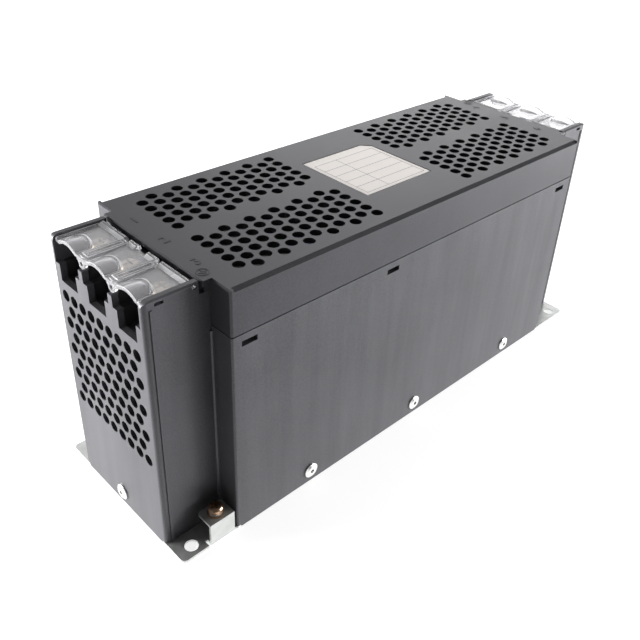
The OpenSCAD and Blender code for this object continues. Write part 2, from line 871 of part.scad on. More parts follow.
module terminal_bar(k) {
    foot = bar_z - bar_t;
    difference() {
        translate([0, k * bay_pitch, 0]) {
            span([bar_front, -bar_w / 2, foot], [bar_leg_u + bar_t, bar_w / 2, bar_z]);
            span([bar_leg_u, -bar_w / 2, bar_z - bar_leg_h], [bar_leg_u + bar_t, bar_w / 2, bar_z]);
        }
        translate([screw_in, k * bay_pitch, foot - cut])
            cylinder(d = screw_d + 2 * hairline, h = bar_t + 2 * cut);
    }
}

module at_terminals(side) {
    at_end(side)
        for (k = bays)
            translate([screw_in, k * bay_pitch, 0]) children();
}

module flat_washers(side) {
    color("silver")
        at_terminals(side)
            translate([0, 0, flat_washer_z])
                ring(screw_head + 1.2, screw_d + 2 * hairline, washer_t);
}

module spring_washers(side) {
    color("silver")
        at_terminals(side)
            translate([0, 0, spring_washer_z])
                spring_washer(screw_head, screw_d + 2 * hairline, spring_t);
}

module terminal_screws(side) {
    color("gold")
        at_terminals(side)
            translate([0, 0, screw_head_z])
                screw(screw_d, screw_head, screw_head_h, screw_len, 5.6);
}

// ---------------------------------------------------------------- clear covers

// Solid of a dome: an arch along X whose rear end is round in plan and slopes
// in. It starts below the flat of the cover, at z = -cover_t.
module dome_solid(w, h, l, r, slope) {
    arch_r = (w * w + h * h) / (2 * h);
    rise = h + cover_t;
    intersection() {
        translate([l, 0, h - arch_r])
            rotate([0, 90, 0])
                cylinder(r = arch_r, h = 4 * r, center = true, $fn = fine);
        union() {
            translate([l, 0, 0])
                cylinder(r1 = r, r2 = r - slope, h = rise, $fn = fine);
            span([0, -w - cut, 0], [l, w + cut, rise]);
        }
        // flush with the front edge of the cover
        span([0, -r, -cut], [l + r, r, rise + cut]);
    }
}

module cover_lug(y) {
    z = lug_z - cover_top;
    translate([cover_front, y, cover_top])
        difference() {
            rotate([90, 0, 90])
                linear_extrude(lug_t)
                    union() {
                        polygon([[-lug_w / 2, 0], [lug_w / 2, 0], [lug_w / 2, -cover_t],
                                 [lug_r, z], [-lug_r, z], [-lug_w / 2, -cover_t]]);
                        translate([0, z]) circle(r = lug_r);
                    }
            translate([lug_t / 2, 0, z])
                rotate([0, 90, 0])
                    cylinder(r = lug_hole, h = lug_t + 2 * cut, center = true, $fn = small);
        }
}

module terminal_cover() {
    rear = hinge_u - barrel_r / 2;
    outer_barrel = cover_w / 2 - bay_pitch / 2 - barrel_gap / 2 - hairline;
    difference() {
        union() {
            span([cover_front, -cover_w / 2, cover_bottom], [rear, cover_w / 2, cover_top]);
            for (side = corners)
                block(rear - 1 - cover_front, cover_rim_w, cover_rim_h + hairline,
                      [(rear - 1 + cover_front) / 2, side * (cover_w - cover_rim_w) / 2,
                       cover_top - hairline]);
            for (k = bays)
                translate([cover_front, k * bay_pitch, cover_top])
                    dome_solid(dome_w, dome_h, dome_l, dome_r, dome_end);
            // raised islands over the webs
            for (side = corners)
                block(island_l, island_w, island_h + hairline,
                      [cover_front + 2 + island_l / 2, side * bay_pitch / 2, cover_top - hairline]);
            for (side = corners) cover_lug(side * bay_pitch / 2);
            // hinge barrels, with a pin at each outer end
            for (side = corners) {
                translate([hinge_u, side * (cover_w / 2 - outer_barrel / 2), hinge_z])
                    rod_y(barrel_r, outer_barrel);
                translate([hinge_u, side * (bay_pitch / 2 - barrel_gap / 2 - short_barrel / 2), hinge_z])
                    rod_y(barrel_r, short_barrel);
                translate([hinge_u, side * (cover_w / 2 + end_wall / 2), hinge_z])
                    rod_y(pin_r, end_wall + hairline, small);
            }
        }
        // hollow under each dome
        for (k = bays)
            translate([cover_front - cut, k * bay_pitch, cover_bottom])
                dome_solid(dome_w - cover_t / 2, dome_h, dome_l + cut, dome_r - cover_t, dome_end);
        for (side = corners)
            block(island_l - island_w + island_slot, island_slot, cut,
                  [cover_front + 2 + island_l / 2, side * bay_pitch / 2, cover_top]);
    }
}

// ---------------------------------------------------------------- chokes

function around(v) = [cos(v), sin(v)];

// Corner i of the wire's loop round the core section: its direction, and its
// place as [radial, axial] measured from the middle of the section.
function loop_dir(i) = around(90 * (floor(i / 2) % 4) + 22.5 + 45 * (i % 2));
function loop_point(i) =
    let (q = floor(i / 2) % 4)
    [(q == 0 || q == 3 ? 1 : -1) * (section_half - core_round),
     (q < 2 ? 1 : -1) * (core_l / 2 - core_round)]
    + (core_round + wrap) / cos(22.5) * loop_dir(i);

// A place on the choke at angle a round the core, from its [radial, axial] offset.
function on_core(a, p) =
    [(section_r + p[0]) * cos(a), (section_r + p[0]) * sin(a), p[1]];

// A helix of wire round one third of the core, with a straight tail along the
// axis at each end: out_tail past the outer face, the other to the middle.
module winding(middle) {
    first = loop_steps - 1;
    last = loop_steps * (turns + 1);
    a0 = middle - winding_angle / 2;
    a1 = middle + winding_angle / 2;
    tail = section_half + wrap;
    wire(concat(
        [on_core(a0, [tail, -core_l / 2 - out_tail])],
        [for (i = [first : last])
            on_core(a0 + winding_angle * (i - first) / (last - first), loop_point(i))],
        [on_core(a1, [tail, choke_x - wire_gap])]), wire_d);
}

// The load choke is the mirror image of the line choke.
module at_side(side) {
    if (side < 0)
        children();
    else
        mirror([1, 0, 0]) children();
}

module at_choke(side) {
    at_side(side)
        translate([-choke_x, 0, choke_z])
            rotate([90, 0, 90]) children();
}

module choke_core(side) {
    color("darkolivegreen")
        at_choke(side)
            rotate_extrude($fn = fine)
                translate([section_r, 0])
                    rounded_rect(2 * section_half, core_l, core_round);
}

module choke_winding(side, middle) {
    color("chocolate")
        at_choke(side) winding(middle);
}

module choke_saddle(side) {
    foot = plate_t + sheet_t;
    color("black")
        at_side(side)
            difference() {
                union() {
                    difference() {
                        block(core_l, saddle_w, saddle_h, [-choke_x, 0, foot]);
                        translate([-choke_x, 0, choke_z])
                            rotate([0, 90, 0])
                                cylinder(r = choke_r + fit, h = 2 * core_l, center = true, $fn = fine);
                    }
                    // post that stands between two windings, under the core
                    block(core_l - 2 * core_round, saddle_post, choke_z - core_od / 2 - foot + 1,
                          [-choke_x, 0, foot]);
                }
                translate([-choke_x, 0, choke_z])
                    rotate([0, 90, 0])
                        cylinder(r = core_od / 2 + hairline, h = 2 * core_l, center = true, $fn = fine);
            }
}

// Where the tail of a winding lies in the YZ plane.
function tail_at(angle) = (core_od / 2 + wrap) * around(angle) + [0, choke_z];

// Insulated lead from the outer tail of a winding to the foot of its terminal bar.
module lead(middle, k) {
    p = tail_at(middle - winding_angle / 2);
    y = k * bay_pitch;
    x0 = -choke_x - core_l / 2 - out_tail;
    xe = end_x + bar_leg_u + bar_t / 2;
    ze = bar_z - bar_leg_h;
    wire([[x0, p[0], p[1]], [x0 - lead_out, p[0], p[1]],
          [xe + lead_bend, y, max(p[1] + lead_rise, lead_low)],
          [xe, y, ze - lead_end], [xe, y, ze]], lead_d);
}

module leads(side) {
    color("firebrick")
        at_side(side)
            for (i = [0 : 2]) lead(phases[i], lead_bays[i]);
}

module link_sleeves() {
    color("silver")
        for (middle = phases) {
            p = tail_at(middle + winding_angle / 2);
            translate([0, p[0], p[1]])
                rotate([0, 90, 0])
                    translate([0, 0, -sleeve_l / 2])
                        ring(wire_d + 2 * hairline + 1.6, wire_d + 2 * hairline, sleeve_l);
        }
}

// ---------------------------------------------------------------- board

module capacitor_board() {
    color("darkgreen")
        difference() {
            block(board_l, board_w, board_t, [0, 0, board_z]);
            for (x = boss_x, sy = corners)
                translate([x, sy * board_hole_y, board_z - cut])
                    cylinder(d = board_hole, h = board_t + 2 * cut, $fn = small);
            // notches that the snap hooks of the lid drop through
            both_sides()
                for (x = snap_places)
                    block(hook_w + 2 * fit, 2 * (2 * fit + hook_t), board_t + 2 * cut,
                          [x, -inner_w / 2, board_z - cut]);
        }
}

module board_screws() {
    color("lightgray")
        for (x = boss_x, sy = corners)
            translate([x, sy * board_hole_y, board_top])
                screw(board_screw_d - 0.4 - 2 * hairline, board_screw_head,
                      board_screw_head_h, board_screw_l, 3);
}

// Moulded box capacitor standing on the board.
module box_capacitor(l, w, h) {
    translate([0, 0, board_top])
        linear_extrude(h)
            rounded_rect(l, w, cap_round);
}

module capacitor_row(x) {
    color("khaki")
        for (k = bays)
            translate([x, k * cap_pitch, 0]) box_capacitor(cap_l, cap_w, cap_h);
}

module earth_capacitors() {
    color("royalblue")
        for (sx = corners, k = bays)
            translate([sx * earth_cap_x, k * cap_pitch, 0])
                box_capacitor(earth_cap_l, earth_cap_w, earth_cap_h);
}

// Axial resistor lying over the board on its two bent wires.
module discharge_resistors() {
    leg = resistor_leg;
    z = board_top + fit + resistor_d / 2;
    color("tan")
        for (k = bays)
            translate([resistor_x, k * cap_pitch, 0]) {
                translate([0, 0, z]) rod_y(resistor_d / 2, resistor_l, small);
                for (sy = corners)
                    translate([0, sy * resistor_pitch / 2, 0])
                        block(leg, leg, z + leg / 2 - board_top, [0, 0, board_top]);
                block(leg, resistor_pitch, leg, [0, 0, z - leg / 2]);
            }
}

// ---------------------------------------------------------------- one module per end

module line_terminal_block() { color("dimgray") at_end(-1) terminal_block(); }
module load_terminal_block() { color("dimgray") at_end(1) terminal_block(); }
module line_terminal_cover() { color("lightcyan", 0.4) at_end(-1) terminal_cover(); }
module load_terminal_cover() { color("lightcyan", 0.4) at_end(1) terminal_cover(); }
module line_bar_1() { color("silver") at_end(-1) terminal_bar(1); }
module line_bar_2() { color("silver") at_end(-1) terminal_bar(0); }
module line_bar_3() { color("silver") at_end(-1) terminal_bar(-1); }
module load_bar_4() { color("silver") at_end(1) terminal_bar(1); }
module load_bar_5() { color("silver") at_end(1) terminal_bar(0); }
module load_bar_6() { color("silver") at_end(1) terminal_bar(-1); }
module line_terminal_screws() { terminal_screws(-1); }
module load_terminal_screws() { terminal_screws(1); }
module line_spring_washers() { spring_washers(-1); }
module load_spring_washers() { spring_washers(1); }
module line_flat_washers() { flat_washers(-1); }
module load_flat_washers() { flat_washers(1); }
module line_choke_core() { choke_core(-1); }
module load_choke_core() { choke_core(1); }
module line_choke_saddle() { choke_saddle(-1); }
module load_choke_saddle() { choke_saddle(1); }
module line_winding_1() { choke_winding(-1, phases[0]); }
module line_winding_2() { choke_winding(-1, phases[1]); }
module line_winding_3() { choke_winding(-1, phases[2]); }
module load_winding_1() { choke_winding(1, phases[0]); }
module load_winding_2() { choke_winding(1, phases[1]); }
module load_winding_3() { choke_winding(1, phases[2]); }
module line_leads() { leads(-1); }
module load_leads() { leads(1); }
module line_capacitors() { capacitor_row(-cap_x); }
module middle_capacitors() { capacitor_row(0); }
module load_capacitors() { capacitor_row(cap_x); }

base_plate();
insulation_sheet();
lower_case();
top_cover();
rating_label();
side_rivets();
end_rivets();
earth_screws();
earth_spring_washers();
earth_washers();
line_terminal_block();
load_terminal_block();
line_terminal_cover();
load_terminal_cover();
line_bar_1();
line_bar_2();
line_bar_3();
load_bar_4();
load_bar_5();
load_bar_6();
line_terminal_screws();
load_terminal_screws();
line_spring_washers();
load_spring_washers();
line_flat_washers();
load_flat_washers();
line_choke_core();
load_choke_core();
line_choke_saddle();
load_choke_saddle();
line_winding_1();
line_winding_2();
line_winding_3();
load_winding_1();
load_winding_2();
load_winding_3();
line_leads();
load_leads();
link_sleeves();
capacitor_board();
board_screws();
line_capacitors();
middle_capacitors();
load_capacitors();
earth_capacitors();
discharge_resistors();
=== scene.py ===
import math

import bmesh
import bpy
from mathutils import Matrix, Vector


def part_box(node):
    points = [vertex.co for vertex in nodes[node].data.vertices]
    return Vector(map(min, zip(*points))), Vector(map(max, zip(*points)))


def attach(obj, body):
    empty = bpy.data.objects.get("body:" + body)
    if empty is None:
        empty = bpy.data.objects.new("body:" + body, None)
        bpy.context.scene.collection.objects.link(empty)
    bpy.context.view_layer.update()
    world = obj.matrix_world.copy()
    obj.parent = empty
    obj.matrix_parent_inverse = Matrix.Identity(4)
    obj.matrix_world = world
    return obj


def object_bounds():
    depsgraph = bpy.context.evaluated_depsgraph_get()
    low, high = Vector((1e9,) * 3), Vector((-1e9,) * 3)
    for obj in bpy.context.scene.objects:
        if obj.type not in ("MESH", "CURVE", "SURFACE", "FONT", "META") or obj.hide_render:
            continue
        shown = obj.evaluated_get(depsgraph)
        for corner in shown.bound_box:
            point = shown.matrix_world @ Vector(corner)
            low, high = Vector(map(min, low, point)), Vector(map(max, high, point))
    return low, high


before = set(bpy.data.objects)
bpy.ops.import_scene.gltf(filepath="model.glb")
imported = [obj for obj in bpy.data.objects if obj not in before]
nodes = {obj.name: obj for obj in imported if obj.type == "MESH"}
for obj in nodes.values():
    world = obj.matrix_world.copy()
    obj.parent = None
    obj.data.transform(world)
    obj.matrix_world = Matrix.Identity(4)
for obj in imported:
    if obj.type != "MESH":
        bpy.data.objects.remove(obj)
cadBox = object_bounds()
mm = 0.001

print("frame loaded:", len(nodes), "nodes")

# places that the pieces share, all read from the frame
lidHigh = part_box("top_cover")[1]
labelLow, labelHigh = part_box("rating_label")
lidHalf, lidTop = lidHigh[0], lidHigh[2]


def addNode(tree, kind, **values):
    node = tree.nodes.new(kind)
    for name, value in values.items():
        setattr(node, name, value)
    return node


def setInputs(node, values):
    for name, value in values.items():
        node.inputs[name].default_value = value
    return node


def newGroup(name, inputs, outputs):
    group = bpy.data.node_groups.new(name, "ShaderNodeTree")
    for label, kind, value in inputs:
        socket = group.interface.new_socket(label, in_out="INPUT", socket_type=kind)
        socket.default_value = value
    for label, kind in outputs:
        group.interface.new_socket(label, in_out="OUTPUT", socket_type=kind)
    source = addNode(group, "NodeGroupInput")
    result = addNode(group, "NodeGroupOutput")
    return group, source, result


def noise(tree, vector, scale, detail=2.0, roughness=0.5, distortion=0.0):
    node = addNode(tree, "ShaderNodeTexNoise")
    setInputs(node, {"Detail": detail, "Roughness": roughness, "Distortion": distortion})
    if hasattr(scale, "links"):
        tree.links.new(scale, node.inputs["Scale"])
    else:
        node.inputs["Scale"].default_value = scale
    tree.links.new(vector, node.inputs["Vector"])
    return node.outputs["Fac"]


def ramp(tree, value, low, high, first=0.0, last=1.0):
    node = addNode(tree, "ShaderNodeMapRange")
    for name, number in (("From Min", low), ("From Max", high), ("To Min", first), ("To Max", last)):
        node.inputs[name].default_value = number
    tree.links.new(value, node.inputs["Value"])
    return node.outputs["Result"]


def calc(tree, operation, a, b):
    node = addNode(tree, "ShaderNodeMath", operation=operation)
    for socket, value in zip(node.inputs, (a, b)):
        if hasattr(value, "links"):
            tree.links.new(value, socket)
        else:
            socket.default_value = value
    return node.outputs["Value"]


def blendColour(tree, factor, a, b, mode="MIX"):
    node = addNode(tree, "ShaderNodeMix", data_type="RGBA", blend_type=mode)
    for socket, value in ((node.inputs[0], factor), (node.inputs[6], a), (node.inputs[7], b)):
        if hasattr(value, "links"):
            tree.links.new(value, socket)
        else:
            socket.default_value = value
    return node.outputs[2]


def stretched(tree, vector, scale):
    node = addNode(tree, "ShaderNodeMapping")
    node.inputs["Scale"].default_value = scale
    tree.links.new(vector, node.inputs["Vector"])
    return node.outputs["Vector"]


def colour(red, green, blue):
    return (red, green, blue, 1.0)


mouldedSkin = {
    "cloudScale": 22.0, "streakStretch": (95.0, 95.0, 7.0), "grainShare": 0.5, "cloudShare": 0.34,
    "streakShare": 0.6, "roughness": (0.38, 0.56),
}


def buildMouldedSkin():
    # fine spark-eroded texture, faint clouds and flow streaks of a moulded surface
    group, source, result = newGroup(
        "mouldedSkin",
        [("Dark", "NodeSocketColor", colour(0.05, 0.05, 0.055)),
         ("Light", "NodeSocketColor", colour(0.09, 0.09, 0.095)),
         ("Grain Scale", "NodeSocketFloat", 1500.0),
         ("Streaks", "NodeSocketFloat", 0.3)],
        [("Colour", "NodeSocketColor"), ("Roughness", "NodeSocketFloat"),
         ("Height", "NodeSocketFloat")])
    place = addNode(group, "ShaderNodeTexCoord").outputs["Object"]
    fine = noise(group, place, source.outputs["Grain Scale"], 3.0, 0.65)
    cloud = noise(group, place, mouldedSkin["cloudScale"], 3.0, 0.55, 0.4)
    flow = noise(group, stretched(group, place, mouldedSkin["streakStretch"]), 1.0, 3.0, 0.6)
    flowMask = ramp(group, flow, 0.35, 0.68)
    grain = ramp(group, fine, 0.32, 0.68)
    mixed = calc(group, "ADD", calc(group, "MULTIPLY", grain, mouldedSkin["grainShare"]),
                 calc(group, "MULTIPLY", ramp(group, cloud, 0.3, 0.7), mouldedSkin["cloudShare"]))
    streaks = calc(group, "MULTIPLY", source.outputs["Streaks"], mouldedSkin["streakShare"])
    mixed = calc(group, "ADD", mixed, calc(group, "MULTIPLY", flowMask, streaks))
    body = blendColour(group, mixed, source.outputs["Dark"], source.outputs["Light"])
    group.links.new(body, result.inputs["Colour"])
    dull = calc(group, "ADD", fine, calc(group, "MULTIPLY", cloud, 0.4))
    group.links.new(ramp(group, dull, 0.4, 1.0, *mouldedSkin["roughness"]), result.inputs["Roughness"])
    group.links.new(fine, result.inputs["Height"])
    return group


sheetMetal = {
    "rollingStretch": (40.0, 1400.0, 1400.0), "cloudScale": 60.0, "crystalShare": 0.3,
    "cloudShare": 0.7, "roughness": (0.34, 0.52),
}


def buildSheetMetal():
    # crystals of a zinc coat under faint rolling lines
    group, source, result = newGroup(
        "sheetMetal",
        [("Dark", "NodeSocketColor", colour(0.45, 0.46, 0.45)),
         ("Light", "NodeSocketColor", colour(0.72, 0.73, 0.72)),
         ("Crystal Scale", "NodeSocketFloat", 320.0)],
        [("Colour", "NodeSocketColor"), ("Roughness", "NodeSocketFloat"),
         ("Height", "NodeSocketFloat")])
    place = addNode(group, "ShaderNodeTexCoord").outputs["Object"]
    crystal = addNode(group, "ShaderNodeTexVoronoi")
    group.links.new(place, crystal.inputs["Vector"])
    group.links.new(source.outputs["Crystal Scale"], crystal.inputs["Scale"])
    grey = addNode(group, "ShaderNodeSeparateColor")
    group.links.new(crystal.outputs["Color"], grey.inputs["Color"])
    lines = noise(group, stretched(group, place, sheetMetal["rollingStretch"]), 1.0, 2.0, 0.5)
    cloud = noise(group, place, sheetMetal["cloudScale"], 3.0, 0.6)
    mixed = calc(group, "ADD",
                 calc(group, "MULTIPLY", grey.outputs["Red"], sheetMetal["crystalShare"]),
                 calc(group, "MULTIPLY", cloud, sheetMetal["cloudShare"]))
    group.links.new(blendColour(group, mixed, source.outputs["Dark"], source.outputs["Light"]),
                    result.inputs["Colour"])
    dull = calc(group, "ADD", calc(group, "MULTIPLY", grey.outputs["Green"], 0.4),
                calc(group, "MULTIPLY", lines, 0.6))
    group.links.new(ramp(group, dull, 0.2, 0.8, *sheetMetal["roughness"]), result.inputs["Roughness"])
    group.links.new(lines, result.inputs["Height"])
    return group


plating = {"stainScale": 420.0, "scratchStretch": (2500.0, 2500.0, 300.0), "roughness": (0.2, 0.42)}


def buildPlating():
    # turned or pressed small metal parts: fine scratches and faint stains; on the brass parts the stain mix
    # is painted shade with painted glints left between
    group, source, result = newGroup(
        "plating",
        [("Clean", "NodeSocketColor", colour(0.7, 0.68, 0.64)),
         ("Stain And Shade", "NodeSocketColor", colour(0.55, 0.42, 0.3)),
         ("Stain Amount", "NodeSocketFloat", 0.4)],
        [("Colour", "NodeSocketColor"), ("Roughness", "NodeSocketFloat"),
         ("Height", "NodeSocketFloat")])
    place = addNode(group, "ShaderNodeTexCoord").outputs["Object"]
    stainAndShade = ramp(group, noise(group, place, plating["stainScale"], 4.0, 0.6, 0.6), 0.45, 0.72)
    scratch = noise(group, stretched(group, place, plating["scratchStretch"]), 1.0, 3.0, 0.7)
    amount = calc(group, "MULTIPLY", stainAndShade, source.outputs["Stain Amount"])
    group.links.new(blendColour(group, amount, source.outputs["Clean"], source.outputs["Stain And Shade"]),
                    result.inputs["Colour"])
    group.links.new(ramp(group, scratch, 0.3, 0.7, *plating["roughness"]), result.inputs["Roughness"])
    group.links.new(scratch, result.inputs["Height"])
    return group


smallParts = {"cloudScale": 90.0, "speckShare": 0.5, "cloudShare": 0.4, "roughness": (0.3, 0.5)}


def buildSmallParts():
    # lacquer, film and board surfaces: soft clouds and tiny specks
    group, source, result = newGroup(
        "smallParts",
        [("Base", "NodeSocketColor", colour(0.5, 0.4, 0.2)),
         ("Shade", "NodeSocketColor", colour(0.35, 0.28, 0.14)),
         ("Speck Scale", "NodeSocketFloat", 900.0)],
        [("Colour", "NodeSocketColor"), ("Roughness", "NodeSocketFloat"),
         ("Height", "NodeSocketFloat")])
    place = addNode(group, "ShaderNodeTexCoord").outputs["Object"]
    speck = noise(group, place, source.outputs["Speck Scale"], 2.0, 0.6)
    cloud = noise(group, place, smallParts["cloudScale"], 2.0, 0.5)
    specks = ramp(group, speck, 0.45, 0.75)
    mixed = calc(group, "ADD", calc(group, "MULTIPLY", specks, smallParts["speckShare"]),
                 calc(group, "MULTIPLY", cloud, smallParts["cloudShare"]))
    group.links.new(blendColour(group, mixed, source.outputs["Base"], source.outputs["Shade"]),
                    result.inputs["Colour"])
    group.links.new(ramp(group, speck, 0.3, 0.7, *smallParts["roughness"]), result.inputs["Roughness"])
    group.links.new(speck, result.inputs["Height"])
    return group


effects = {"mouldedSkin": buildMouldedSkin(), "sheetMetal": buildSheetMetal(),
           "plating": buildPlating(), "smallParts": buildSmallParts()}


def makeMaterial(name, effect, effectValues, shaderValues=None, bumpDistance=0.05 * mm, bumpStrength=0.3):
    material = bpy.data.materials.new(name)
    material.use_nodes = True
    tree = material.node_tree
    shader = tree.nodes["Principled BSDF"]
    group = addNode(tree, "ShaderNodeGroup", node_tree=effects[effect])
    setInputs(group, effectValues)
    tree.links.new(group.outputs["Colour"], shader.inputs["Base Color"])
    tree.links.new(group.outputs["Roughness"], shader.inputs["Roughness"])
    bump = addNode(tree, "ShaderNodeBump")
    setInputs(bump, {"Strength": bumpStrength, "Distance": bumpDistance})
    tree.links.new(group.outputs["Height"], bump.inputs["Height"])
    tree.links.new(bump.outputs["Normal"], shader.inputs["Normal"])
    setInputs(shader, shaderValues or {})
    return material


clearPlastic = {
    "index": 1.43, "rippleScale": 160.0, "hazeScale": 900.0, "haze": colour(0.93, 0.93, 0.94),
    "bumpStrength": 0.06, "bumpDistance": 0.2 * mm,
}


def makeClearMaterial(name, tint, roughness, clearness):
    # clear moulded plastic with a faint ripple
    material = bpy.data.materials.new(name)
    material.use_nodes = True
    tree = material.node_tree
    shader = tree.nodes["Principled BSDF"]
    place = addNode(tree, "ShaderNodeTexCoord").outputs["Object"]
    ripple = noise(tree, place, clearPlastic["rippleScale"], 2.0, 0.5)
    haze = ramp(tree, noise(tree, place, clearPlastic["hazeScale"], 2.0, 0.5), 0.4, 0.8)
    setInputs(shader, {"Transmission Weight": clearness, "IOR": clearPlastic["index"], "Metallic": 0.0})
    tree.links.new(blendColour(tree, haze, tint, clearPlastic["haze"]), shader.inputs["Base Color"])
    tree.links.new(ramp(tree, ripple, 0.3, 0.7, roughness * 0.6, roughness * 1.4),
                   shader.inputs["Roughness"])
    bump = addNode(tree, "ShaderNodeBump")
    setInputs(bump, {"Strength": clearPlastic["bumpStrength"], "Distance": clearPlastic["bumpDistance"]})
    tree.links.new(ripple, bump.inputs["Height"])
    tree.links.new(bump.outputs["Normal"], shader.inputs["Normal"])
    return material


finishes = {
    "case": makeMaterial(
        "caseSkin", "mouldedSkin",
        {"Dark": colour(0.026, 0.026, 0.029), "Light": colour(0.088, 0.088, 0.095),
         "Grain Scale": 1300.0, "Streaks": 0.6}, {"Specular Tint": colour(0.92, 0.91, 1.0)}),
    "lid": makeMaterial(
        "lidSkin", "mouldedSkin",
        {"Dark": colour(0.012, 0.012, 0.014), "Light": colour(0.052, 0.052, 0.058),
         "Grain Scale": 1500.0, "Streaks": 0.1}, {"Specular Tint": colour(0.92, 0.91, 1.0)}),
    # the lid's plastic darkened for the moulded marks: painted shade
    "lidMarkShade": makeMaterial(
        "lidMarkShadeSkin", "mouldedSkin",
        {"Dark": colour(0.006, 0.006, 0.007), "Light": colour(0.02, 0.02, 0.022),
         "Grain Scale": 1500.0, "Streaks": 0.0}, {"Specular Tint": colour(0.92, 0.91, 1.0)}),
    "block": makeMaterial(
        "blockSkin", "mouldedSkin",
        {"Dark": colour(0.008, 0.008, 0.009), "Light": colour(0.02, 0.02, 0.022),
         "Grain Scale": 1700.0, "Streaks": 0.1}, {"Specular IOR Level": 0.4}),
    "label": makeMaterial(
        "labelFilm", "smallParts",
        {"Base": colour(1.0, 0.93, 0.88), "Shade": colour(1.0, 0.92, 0.87), "Speck Scale": 2200.0}),
    "labelRule": makeMaterial(
        "labelRuleInk", "smallParts",
        {"Base": colour(0.16, 0.16, 0.17), "Shade": colour(0.24, 0.24, 0.25), "Speck Scale": 2600.0}),
    "zinc": makeMaterial(
        "zincSheet", "sheetMetal",
        {"Dark": colour(0.42, 0.43, 0.42), "Light": colour(0.64, 0.65, 0.64), "Crystal Scale": 380.0},
        {"Metallic": 0.7}, 0.04 * mm, 0.2),
    "nickel": makeMaterial(
        "nickelPlate", "plating", {"Stain Amount": 0.45}, {"Metallic": 1.0}, 0.03 * mm, 0.2),
    "rivet": makeMaterial(
        "rivetMetal", "plating",
        {"Clean": colour(0.66, 0.66, 0.65), "Stain And Shade": colour(0.42, 0.42, 0.42), "Stain Amount": 0.35},
        {"Metallic": 1.0}, 0.03 * mm, 0.2),
    # screws and washers under the clear covers: both colours are darkened as painted shade, and the heavy
    # stain mottling leaves pale patches as painted glints
    "brass": makeMaterial(
        "yellowPlate", "plating",
        {"Clean": colour(0.3, 0.26, 0.19), "Stain And Shade": colour(0.12, 0.09, 0.055), "Stain Amount": 0.9},
        {"Metallic": 1.0}, 0.03 * mm, 0.2),
    "bronze": makeMaterial(
        "bronzePlate", "plating",
        {"Clean": colour(0.5, 0.33, 0.22), "Stain And Shade": colour(0.2, 0.11, 0.07), "Stain Amount": 0.8},
        {"Metallic": 1.0}, 0.03 * mm, 0.2),
    "tin": makeMaterial(
        "tinnedBar", "plating",
        {"Clean": colour(0.78, 0.76, 0.7), "Stain And Shade": colour(0.56, 0.5, 0.42), "Stain Amount": 0.4},
        {"Metallic": 1.0}, 0.03 * mm, 0.2),
    "copper": makeMaterial(
        "enamelledWire", "smallParts",
        {"Base": colour(0.55, 0.22, 0.07), "Shade": colour(0.34, 0.12, 0.04), "Speck Scale": 500.0},
        {"Metallic": 0.6, "Coat Weight": 0.6}),
    "core": makeMaterial(
        "coreCoat", "smallParts",
        {"Base": colour(0.1, 0.15, 0.08), "Shade": colour(0.06, 0.1, 0.05), "Speck Scale": 800.0}),
    "saddle": makeMaterial(
        "saddleSkin", "mouldedSkin",
        {"Dark": colour(0.02, 0.02, 0.02), "Light": colour(0.04, 0.04, 0.04), "Grain Scale": 1500.0,
         "Streaks": 0.0}),
    "jacket": makeMaterial(
        "siliconeJacket", "smallParts",
        {"Base": colour(0.38, 0.045, 0.03), "Shade": colour(0.26, 0.03, 0.02), "Speck Scale": 700.0}),
    "board": makeMaterial(
        "boardMask", "smallParts",
        {"Base": colour(0.03, 0.14, 0.06), "Shade": colour(0.02, 0.1, 0.045), "Speck Scale": 600.0}),
    # dark grey boxes, darkened as painted shade so that the vents look dark
    "filmCapacitor": makeMaterial(
        "capacitorBox", "smallParts",
        {"Base": colour(0.06, 0.055, 0.05), "Shade": colour(0.04, 0.036, 0.032), "Speck Scale": 900.0}),
    "earthCapacitor": makeMaterial(
        "capacitorBlue", "smallParts",
        {"Base": colour(0.05, 0.12, 0.4), "Shade": colour(0.03, 0.09, 0.32), "Speck Scale": 900.0}),
    "resistor": makeMaterial(
        "resistorLacquer", "smallParts",
        {"Base": colour(0.6, 0.44, 0.26), "Shade": colour(0.5, 0.34, 0.18), "Speck Scale": 900.0}),
    "film": makeMaterial(
        "insulationFilm", "smallParts",
        {"Base": colour(0.8, 0.78, 0.72), "Shade": colour(0.72, 0.7, 0.64), "Speck Scale": 400.0}),
    # whitish, mostly opaque plastic for the painted highlights along the cover edges
    "paintedEdgeHighlight": makeClearMaterial("paintedEdgeHighlight", colour(0.97, 0.97, 0.99), 0.25, 0.2),
    "clear": makeClearMaterial("clearCover", colour(0.9, 0.89, 0.92), 0.14, 0.84),
}

nodeFinish = {
    "base_plate": "zinc", "insulation_sheet": "film", "lower_case": "case", "top_cover": "lid",
    "rating_label": "label", "side_rivets": "rivet", "end_rivets": "rivet",
    "earth_screws": "bronze", "earth_spring_washers": "nickel", "earth_washers": "bronze",
    "link_sleeves": "nickel", "board_screws": "nickel", "capacitor_board": "board",
    "earth_capacitors": "earthCapacitor", "discharge_resistors": "resistor",
}
endFinish = {
    "_terminal_block": "block", "_terminal_cover": "clear", "_terminal_screws": "brass",
    "_spring_washers": "brass", "_flat_washers": "brass", "_choke_core": "core",
    "_choke_saddle": "saddle", "_leads": "jacket", "_capacitors": "filmCapacitor",
    "_bar_": "tin", "_winding_": "copper",
}


def finishFor(name):
    if name in nodeFinish:
        return nodeFinish[name]
    return next(finish for part, finish in endFinish.items() if part in name)


def paint(obj, finish):
    obj.data.materials.clear()
    obj.data.materials.append(finishes[finish])


for name, obj in nodes.items():
    for slot in obj.material_slots:
        slot.material = finishes[finishFor(name)]
print("materials made:", len(finishes))


def meshObject(name, build, finish, body="housing"):
    mesh = bpy.data.meshes.new(name)
    data = bmesh.new()
    build(data)
    bmesh.ops.recalc_face_normals(data, faces=data.faces)
    data.to_mesh(mesh)
    data.free()
    obj = bpy.data.objects.new(name, mesh)
    bpy.context.collection.objects.link(obj)
    paint(obj, finish)
    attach(obj, body)
    return obj


